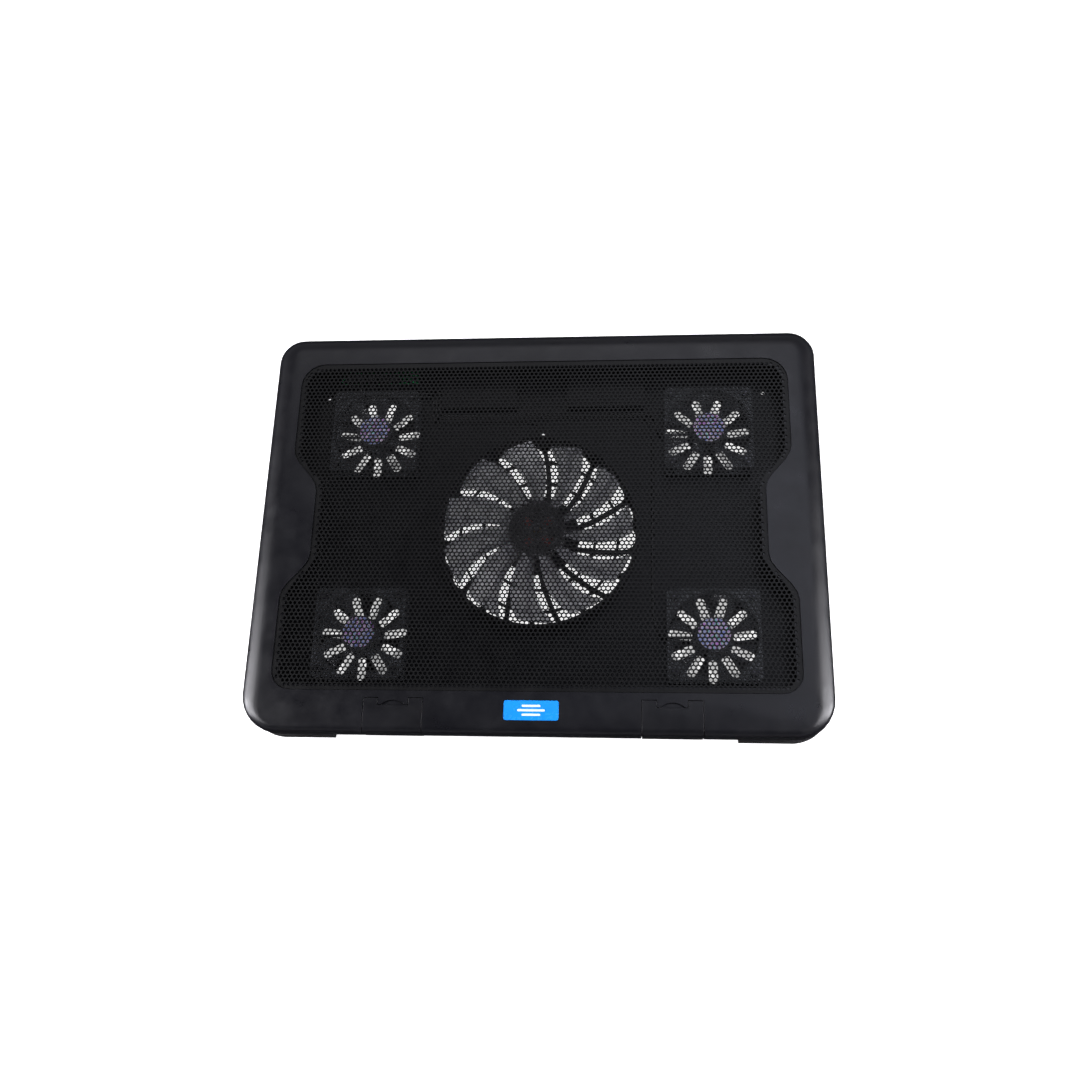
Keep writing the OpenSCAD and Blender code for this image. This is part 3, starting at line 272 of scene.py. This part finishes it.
def label_foil(name):
    """Holographic foil on a small fan's hub: spots of blue, violet, green and near white painted
    over grey, standing for the foil's iridescent reflections and glints.
    """
    s = Shader(name)
    # painted reflections: the ramp's coloured and near-white spots are the foil's glints, painted
    # into its colour
    painted_glint_patches = s.noise(240.0, 2.0, 0.6)
    s.link(s.ramp(painted_glint_patches, [
        (0.30, (0.85, 0.86, 0.90)), (0.42, (0.30, 0.38, 0.98)), (0.50, (0.95, 0.95, 0.97)),
        (0.58, (0.80, 0.30, 0.92)), (0.66, (0.30, 0.88, 0.86)), (0.76, (0.96, 0.92, 0.80))]),
        s.bsdf.inputs["Base Color"])
    s.link(s.spread(s.noise(900.0, 2.0), 0.18, 0.45), s.bsdf.inputs["Roughness"])
    s.link(s.bump(painted_glint_patches, 1e-5, 0.4), s.bsdf.inputs["Normal"])
    s.set(Metallic=0.25)
    return s


def enamelled_wire(name, color):
    """Winding: fine turns that run round each arm, with painted shade darkening the grooves between
    the turns.
    """
    s = Shader(name)
    wave = s.add("ShaderNodeTexWave", wave_type="RINGS", rings_direction="Z")
    wave.inputs["Scale"].default_value = 620.0
    wave.inputs["Distortion"].default_value = 0.6
    s.link(s.place, wave.inputs["Vector"])
    # painted shade: the low part of each ring, the groove between turns, is darkened to a third
    s.link(s.ramp(wave.outputs["Fac"], [(0.1, shade(color, 0.35)), (0.7, color)]),
           s.bsdf.inputs["Base Color"])
    s.link(s.bump(wave.outputs["Fac"], 6e-5, 0.8), s.bsdf.inputs["Normal"])
    s.link(s.spread(s.noise(300.0), 0.22, 0.36), s.bsdf.inputs["Roughness"])
    s.set(Metallic=0.7)
    return s


def solder_mask(name, color):
    """Green board with tracks that show through the mask."""
    s = Shader(name)
    tracks = s.add("ShaderNodeTexVoronoi", feature="DISTANCE_TO_EDGE")
    tracks.inputs["Scale"].default_value = 190.0
    s.link(s.place, tracks.inputs["Vector"])
    s.link(s.ramp(tracks.outputs["Distance"], [(0.03, shade(color, 2.4)), (0.07, color)]),
           s.bsdf.inputs["Base Color"])
    s.link(s.bump(tracks.outputs["Distance"], 2e-5, 0.5), s.bsdf.inputs["Normal"])
    s.link(s.spread(s.noise(120.0), 0.2, 0.34), s.bsdf.inputs["Roughness"])
    return s


def glossy_plate(name, color, rough):
    """Moulded colour with a clear coat and a faint orange-peel ripple."""
    s = Shader(name)
    tone = s.noise(160.0, 2.0)
    s.link(s.ramp(tone, [(0.3, shade(color, 0.94)), (0.7, shade(color, 1.05))]),
           s.bsdf.inputs["Base Color"])
    s.link(s.spread(s.noise(420.0), rough * 0.8, rough * 1.3), s.bsdf.inputs["Roughness"])
    s.link(s.bump(tone, 1.2e-5, 0.4), s.bsdf.inputs["Normal"])
    s.set(Coat_Weight=0.4, Coat_Roughness=0.08)
    return s


CENTER_HUB_R = 19 * MM


def make_materials():
    """A material for each slot of the record."""
    made = {
        "shell_plastic": moulded("shell_plastic", (0.0050, 0.0050, 0.0068), 0.34),
        "mesh_metal": moulded("mesh_metal", (0.0035, 0.0035, 0.0038), 0.42, grain=2600.0,
                              depth=1e-5, spread=0.12, shine=0.25),
        "badge_blue": glossy_plate("badge_blue", (0.012, 0.30, 1.0), 0.24),
        "badge_print": glossy_plate("badge_print", (0.80, 0.90, 0.99), 0.3),
        "stop_plastic": moulded("stop_plastic", (0.0050, 0.0050, 0.0066), 0.35),
        "foot_plastic": moulded("foot_plastic", (0.008, 0.008, 0.009), 0.45),
        "rubber": moulded("rubber", (0.012, 0.012, 0.013), 0.72, grain=1100.0, depth=4e-5,
                          spread=0.1, blotch=0.18),
        "pin_steel": metal("pin_steel", (0.6, 0.6, 0.62), 0.24, (0.05, 1, 1)),
        "smoke_plastic": see_through("smoke_plastic", (0.52, 0.52, 0.55), 0.80, 0.22, 90.0),
        "clear_plastic": see_through("clear_plastic", (0.19, 0.20, 0.22), 0.25, 0.2, 120.0),
        "magnet": moulded("magnet", (0.035, 0.035, 0.04), 0.6, grain=900.0),
        "bronze": metal("bronze", (0.55, 0.38, 0.18), 0.4),
        "core_steel": metal("core_steel", (0.36, 0.36, 0.38), 0.34, (0.1, 0.1, 1)),
        "copper": enamelled_wire("copper", (0.85, 0.12, 0.08)),
        "board": solder_mask("board", (0.01, 0.10, 0.035)),
        "socket_metal": metal("socket_metal", (0.72, 0.72, 0.74), 0.2, (1, 0.1, 1)),
        "switch_metal": metal("switch_metal", (0.58, 0.58, 0.6), 0.28),
        "knob_plastic": moulded("knob_plastic", (0.02, 0.02, 0.02), 0.45, grain=1800.0),
        "plug_plastic": moulded("plug_plastic", (0.022, 0.022, 0.024), 0.5),
        "lead_skin": glossy_plate("lead_skin", (0.012, 0.012, 0.013), 0.35),
        "screw_steel": metal("screw_steel", (0.10, 0.10, 0.11), 0.35),
    }
    low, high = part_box("center_rotor")
    darker_hub(made["smoke_plastic"], (low + high) / 2, CENTER_HUB_R, (0.18, 1.0), (0.38, 0.80))
    return {name: s.material for name, s in made.items()}


MATERIALS = make_materials()


def dress_nodes():
    """Every CAD node gets the material of its slot in the record."""
    for row in frame["record"]["subparts"]:
        mesh = frame["nodes"][row["node"]].data
        mesh.materials.clear()
        mesh.materials.append(MATERIALS[row["material_slot"]])


# ---- Steel mesh ----

MESH_PITCH = 3.0 * MM     # from one hole to the next
HOLE_ACROSS = 2.15 * MM   # between opposite sides of a hole
MESH_RIM = 0.9 * MM       # least plain steel between a hole and the edge
WAIST_IN = 18.0 * MM      # how far each side comes in
WAIST_HALF = 22.5 * MM    # half the length of the narrow part
WAIST_RAMP = 31.0 * MM    # length of the curve on either end of it
WAIST_Y = -0.5 * MM
CORNER_BACK = 16.5 * MM
CORNER_FRONT = 13.0 * MM
CORNER_STEPS = 8
WAIST_STEPS = 12


def mesh_outline(low, high):
    """The panel's outline, counterclockwise: round corners and waisted sides."""
    half = high.x
    right = []
    for k in range(CORNER_STEPS + 1):
        a = math.radians(-90 + 90 * k / CORNER_STEPS)
        right.append((half - CORNER_FRONT + CORNER_FRONT * math.cos(a),
                      low.y + CORNER_FRONT + CORNER_FRONT * math.sin(a)))
    for end in (-1, 1):
        for k in range(WAIST_STEPS + 1):
            share = 1 - k / WAIST_STEPS if end < 0 else k / WAIST_STEPS
            y = WAIST_Y + end * (WAIST_HALF + WAIST_RAMP * share)
            right.append((half - WAIST_IN * (1 + math.cos(math.pi * share)) / 2, y))
    for k in range(CORNER_STEPS + 1):
        a = math.radians(90 * k / CORNER_STEPS)
        right.append((half - CORNER_BACK + CORNER_BACK * math.cos(a),
                      high.y - CORNER_BACK + CORNER_BACK * math.sin(a)))
    return np.array(right + [(-x, y) for x, y in reversed(right)])


def inside(points, loop):
    """Which of the points lie inside the closed loop."""
    x, y = points[:, 0:1], points[:, 1:2]
    x1, y1 = loop[:, 0], loop[:, 1]
    x2, y2 = np.roll(x1, -1), np.roll(y1, -1)
    spans = (y1 > y) != (y2 > y)
    with np.errstate(divide="ignore", invalid="ignore"):
        crossing = x < (x2 - x1) * (y - y1) / (y2 - y1) + x1
    return (spans & crossing).sum(axis=1) % 2 == 1


def distance_to(points, loop):
    """Shortest distance from each point to the loop's edges."""
    a, b = loop, np.roll(loop, -1, axis=0)
    d = b - a
    rel = points[:, None, :] - a[None]
    t = np.clip((rel * d).sum(-1) / (d * d).sum(-1), 0, 1)
    return np.linalg.norm(rel - t[..., None] * d, axis=-1).min(axis=1)


def ring_points(center, radius):
    """Six corners round each center, the first at 30 degrees."""
    a = np.radians(30 + 60 * np.arange(6))
    return center[:, None, :] + radius * np.stack([np.cos(a), np.sin(a)], -1)[None]


def nearest_cell(point, row):
    """(row, doubled column) of the lattice cell that holds a point."""
    best = None
    for r in (math.floor(point[1] / row), math.floor(point[1] / row) + 1):
        shift = 0.5 * (r % 2)
        c = round(point[0] / MESH_PITCH - shift)
        gap = math.hypot(point[0] - (c + shift) * MESH_PITCH, point[1] - r * row)
        if best is None or gap < best[0]:
            best = (gap, (r, int(2 * c + r % 2)))
    return best[1]


def boundary_edges(loops):
    """Directed edges that only one of the cells has."""
    edges = {}
    for loop in loops.tolist():
        for k in range(6):
            a, b = loop[k], loop[(k + 1) % 6]
            if (b, a) in edges:
                del edges[(b, a)]
            else:
                edges[(a, b)] = True
    return list(edges)


def band(first, second):
    """Four-sided faces between two rings of six corners, for every cell."""
    ring = [first, np.roll(first, -1, 1), np.roll(second, -1, 1), second]
    return np.stack(ring, -1).reshape(-1, 4)


def hex_panel(outline, low, high):
    """Points and faces of the panel: a hexagonal hole in every cell, and a plain rim round them.

    The points come in six groups: the cells' corners on top and below, the holes' corners on top
    and below, and the outline on top and below.
    """
    row = MESH_PITCH * math.sqrt(3) / 2
    cells = {}
    for r in range(math.floor(low.y / row), math.ceil(high.y / row) + 1):
        for c in range(math.floor(low.x / MESH_PITCH), math.ceil(high.x / MESH_PITCH) + 1):
            cells[(r, 2 * c + r % 2)] = ((c + 0.5 * (r % 2)) * MESH_PITCH, r * row)
    keys = list(cells)
    centers = np.array([cells[k] for k in keys])
    keep = inside(centers, outline)
    keep[keep] = distance_to(centers[keep], outline) > HOLE_ACROSS / 2 + MESH_RIM
    centers = centers[keep]
    held = {k for k, kept in zip(keys, keep) if kept}
    cell = ring_points(centers, MESH_PITCH / math.sqrt(3)).reshape(-1, 2)
    hole = ring_points(centers, HOLE_ACROSS / math.sqrt(3)).reshape(-1, 2)
    _, first, index = np.unique(np.round(cell / 1e-6).astype(np.int64), axis=0,
                                return_index=True, return_inverse=True)
    corners = cell[first]
    loops = index.reshape(-1, 6)
    edges = boundary_edges(loops)
    used = sorted({v for e in edges for v in e})
    local = {v: k for k, v in enumerate(used)}
    n_used, n_rim, n_corner, n_hole = len(used), len(outline), len(corners), len(hole)
    rim_edges = [(n_used + k, n_used + (k + 1) % n_rim) for k in range(n_rim)]
    flat_points, _, rim, sources, _, _ = delaunay_2d_cdt(
        [Vector(corners[v]) for v in used] + [Vector(p) for p in outline],
        [(local[a], local[b]) for a, b in edges] + rim_edges,
        [], 0, 1e-9)
    top_rim = 2 * n_corner + 2 * n_hole
    bottom_rim = top_rim + n_rim
    source = [ids[0] for ids in sources]
    to_top = [used[k] if k < n_used else top_rim + k - n_used for k in source]
    to_bottom = [used[k] + n_corner if k < n_used else bottom_rim + k - n_used for k in source]
    middle = np.array([sum((flat_points[v] for v in f), Vector((0, 0))) / len(f) for f in rim])
    wanted = inside(middle, outline)
    rim = [f for f, m, w in zip(rim, middle, wanted) if w and nearest_cell(m, row) not in held]
    hole_top = 2 * n_corner + np.arange(n_hole).reshape(-1, 6)
    hole_bottom = hole_top + n_hole
    below = loops + n_corner
    faces = np.concatenate([
        band(loops, hole_top), band(hole_bottom, below), band(hole_top, hole_bottom)
    ]).tolist()
    for f in rim:
        faces.append([to_top[v] for v in f])
        faces.append([to_bottom[v] for v in reversed(f)])
    for k in range(n_rim):
        n = (k + 1) % n_rim
        faces.append([bottom_rim + k, bottom_rim + n, top_rim + n, top_rim + k])
    flat = np.concatenate([corners, corners, hole, hole, outline, outline])
    z = np.concatenate([np.full(n, h) for n, h in (
        (n_corner, high.z), (n_corner, low.z), (n_hole, high.z), (n_hole, low.z),
        (n_rim, high.z), (n_rim, low.z))])
    return np.column_stack([flat, z]), faces


def make_mesh_panel():
    """The perforated sheet as two pieces, left and right, so that neither grows too large."""
    low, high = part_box("mesh_panel")
    points, faces = hex_panel(mesh_outline(low, high), low, high)
    left = [f for f in faces if points[f[0]][0] + points[f[2]][0] < 0]
    right = [f for f in faces if points[f[0]][0] + points[f[2]][0] >= 0]
    for name, half in (("mesh_left_half", left), ("mesh_right_half", right)):
        used = sorted({v for f in half for v in f})
        local = {v: k for k, v in enumerate(used)}
        piece = new_piece(name, points[used], [[local[v] for v in f] for f in half],
                          "housing", MATERIALS["mesh_metal"])
        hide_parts("mesh_panel")


# ---- Small pieces that only the looks need ----

def add_box(work, low, high):
    """A box between two corners."""
    made = bmesh.ops.create_cube(work, size=1.0)
    size = Vector(high) - Vector(low)
    middle = (Vector(high) + Vector(low)) / 2
    for v in made["verts"]:
        v.co = Vector((v.co.x * size.x, v.co.y * size.y, v.co.z * size.z)) + middle


def piece_from(work, name, body, material):
    """Turns a worked mesh into a piece."""
    mesh = bpy.data.meshes.new(name)
    work.to_mesh(mesh)
    work.free()
    return finish_piece(name, mesh, body, material)


TONGUE = (10.8 * MM, 9.6 * MM, 1.8 * MM)   # width, length, thickness
TONGUE_BACK = 11.4 * MM                    # from the socket's mouth
TONGUE_DROP = 0.7 * MM                     # from the socket's top
CONTACT_WIDTH = 1.0 * MM
CONTACT_PITCH = 2.4 * MM


def make_socket_tongue(node):
    """Black contact tongue in a socket, with four gilt contacts under it."""
    low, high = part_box(node)
    middle = (low + high) / 2
    width, reach, thick = TONGUE
    back = high.y - TONGUE_BACK
    top = high.z - TONGUE_DROP
    under = top - thick
    work = bmesh.new()
    add_box(work, (middle.x - width / 2, back, under), (middle.x + width / 2, back + reach, top))
    bmesh.ops.bevel(work, geom=work.edges[:], offset=0.25 * MM, segments=2, affect="EDGES")
    piece_from(work, node + "_tongue", "housing", MATERIALS["plug_plastic"])
    work = bmesh.new()
    for k in range(4):
        x = middle.x + (k - 1.5) * CONTACT_PITCH
        add_box(work, (x - CONTACT_WIDTH / 2, back + 1.2 * MM, under - 0.12 * MM),
                (x + CONTACT_WIDTH / 2, back + reach - 0.8 * MM, under + 0.05 * MM))
    piece_from(work, node + "_contacts", "housing", MATERIALS["bronze"])


LABEL_R = 10.6 * MM
LABEL_THICK = 0.12 * MM


def make_hub_label(corner):
    """Thin foil disc on top of a corner fan's hub, a little narrower at its top."""
    low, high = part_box(corner + "_rotor")
    middle = (low + high) / 2
    work = bmesh.new()
    bmesh.ops.create_cone(work, segments=64, radius1=LABEL_R, radius2=LABEL_R - 0.1 * MM,
                          depth=LABEL_THICK, cap_ends=True)
    rims = [e for e in work.edges if e.calc_face_angle(0) > 1]
    bmesh.ops.bevel(work, geom=rims, offset=0.03 * MM, segments=2, affect="EDGES")
    bmesh.ops.translate(work, verts=work.verts,
                        vec=(middle.x, middle.y, high.z + LABEL_THICK / 2))
    piece_from(work, corner + "_hub_label", corner + "_fan", LABEL_FOIL)


# ---- Stage ----

# The camera, fitted to the photograph's outline
EYE = Vector((62.9, -246.6, 706.7)) * MM
TURN = (18.98, 4.56, 1.456)   # degrees about x, y and z
LENS = 36.26                  # mm, on a sensor 36 mm wide
SENSOR = 36.0


def make_camera():
    """The camera at the photograph's place and angle."""
    data = bpy.data.cameras.new("camera")
    data.sensor_width = SENSOR
    data.lens = LENS
    data.clip_start = 0.01
    camera = bpy.data.objects.new("camera", data)
    bpy.context.scene.collection.objects.link(camera)
    camera.location = EYE
    camera.rotation_euler = [math.radians(a) for a in TURN]
    bpy.context.scene.camera = camera


FLOOR_HALF = 20.0


def make_floor():
    """A plain pale table that glows, so that it stays white under the object."""
    s = Shader("table_white")
    s.link(s.ramp(s.noise(3.0), [(0.2, (0.90, 0.90, 0.90)), (0.8, (0.93, 0.93, 0.93))]),
           s.bsdf.inputs["Base Color"])
    s.set(Roughness=0.9, Emission_Color=(1, 1, 1, 1), Emission_Strength=0.95)
    mesh = bpy.data.meshes.new("floor")
    half = FLOOR_HALF
    mesh.from_pydata([(-half, -half, 0), (half, -half, 0), (half, half, 0), (-half, half, 0)],
                     [], [(0, 1, 2, 3)])
    mesh.materials.append(s.material)
    floor = bpy.data.objects.new("floor", mesh)
    floor.location.z = -0.1 * MM
    floor.visible_glossy = False  # or the front edge mirrors the table and fades into it
    bpy.context.scene.collection.objects.link(floor)


def soft_light(name, place, target, size, power, color):
    """A rectangular light that faces its target."""
    data = bpy.data.lights.new(name, "AREA")
    data.shape = "RECTANGLE"
    data.size, data.size_y = size
    data.energy = power
    data.color = color
    light = bpy.data.objects.new(name, data)
    bpy.context.scene.collection.objects.link(light)
    light.location = place
    light.rotation_euler = (Vector(target) - Vector(place)).to_track_quat("-Z", "Y").to_euler()


def make_world():
    """Pale near the horizon for the shoulders to mirror, and dark overhead for the black top."""
    world = bpy.data.worlds.new("studio")
    world.use_nodes = True
    tree = world.node_tree
    place = tree.nodes.new("ShaderNodeTexCoord").outputs["Generated"]
    split = tree.nodes.new("ShaderNodeSeparateXYZ")
    ramp = tree.nodes.new("ShaderNodeValToRGB")
    stops = ramp.color_ramp.elements
    stops.new(0.5)
    for stop, (position, level) in zip(stops, ((0.0, 0.04), (0.16, 0.8), (0.60, 0.03))):
        stop.position = position
        stop.color = (level, level, level * 1.06, 1)
    tree.links.new(place, split.inputs["Vector"])
    tree.links.new(split.outputs["Z"], ramp.inputs["Fac"])
    tree.links.new(ramp.outputs["Color"], tree.nodes["Background"].inputs["Color"])
    tree.nodes["Background"].inputs["Strength"].default_value = 0.55
    bpy.context.scene.world = world


def make_light():
    """Two weak lights over the back for the top's sheen, and low strips for the shoulders."""
    cool, pale, blue = (0.95, 0.95, 1.0), (0.96, 0.95, 1.0), (0.84, 0.87, 1.0)
    soft_light("key", (-0.1, 0.95, 1.2), (0, 0.1, 0), (1.1, 0.5), 2.6, cool)
    soft_light("sheen", (0.5, 0.5, 1.5), (0.15, 0, 0), (0.8, 0.8), 3.2, blue)
    soft_light("left_strip", (-1.3, -0.15, 0.45), (-0.15, 0, 0), (0.5, 1.3), 36.0, pale)
    soft_light("right_strip", (1.3, -0.15, 0.45), (0.15, 0, 0), (0.5, 1.6), 40.0, pale)
    make_world()
    bpy.context.scene.view_settings.view_transform = "Standard"
    bpy.context.scene.view_settings.look = "None"


# ---- Build ----

# How far each softened node's edges are rounded, in mm; 0 only smooths the curved faces
EDGE_WIDTHS = {
    "top_shell": 0.5, "bottom_shell": 0.5, "left_stop": 0.35, "right_stop": 0.35,
    "badge_plate": 0.2, "left_rear_foot": 0.5, "right_rear_foot": 0.5,
    "left_foot_tip": 0.5, "right_foot_tip": 0.5, "left_front_pad": 0.5, "right_front_pad": 0.5,
    "rear_pads": 0.5, "center_rotor": 0.3, "outer_usb_socket": 0.1, "inner_usb_socket": 0.1,
    "switch_knob": 0.3, "control_board": 0.15, "lead_plugs": 0.4, "fan_leads": 0.0,
    "badge_mark": 0.0, "center_coils": 0.2,
}
for corner in CORNERS:
    EDGE_WIDTHS[corner + "_frame"] = 0.3
    EDGE_WIDTHS[corner + "_rotor"] = 0.25

LABEL_FOIL = label_foil("label_foil").material

make_camera()
make_floor()
make_light()
dress_nodes()
for node, width in EDGE_WIDTHS.items():
    soften(node, width * MM)
make_mesh_panel()
for node in SOCKETS:
    make_socket_tongue(node)
for corner in CORNERS:
    make_hub_label(corner)
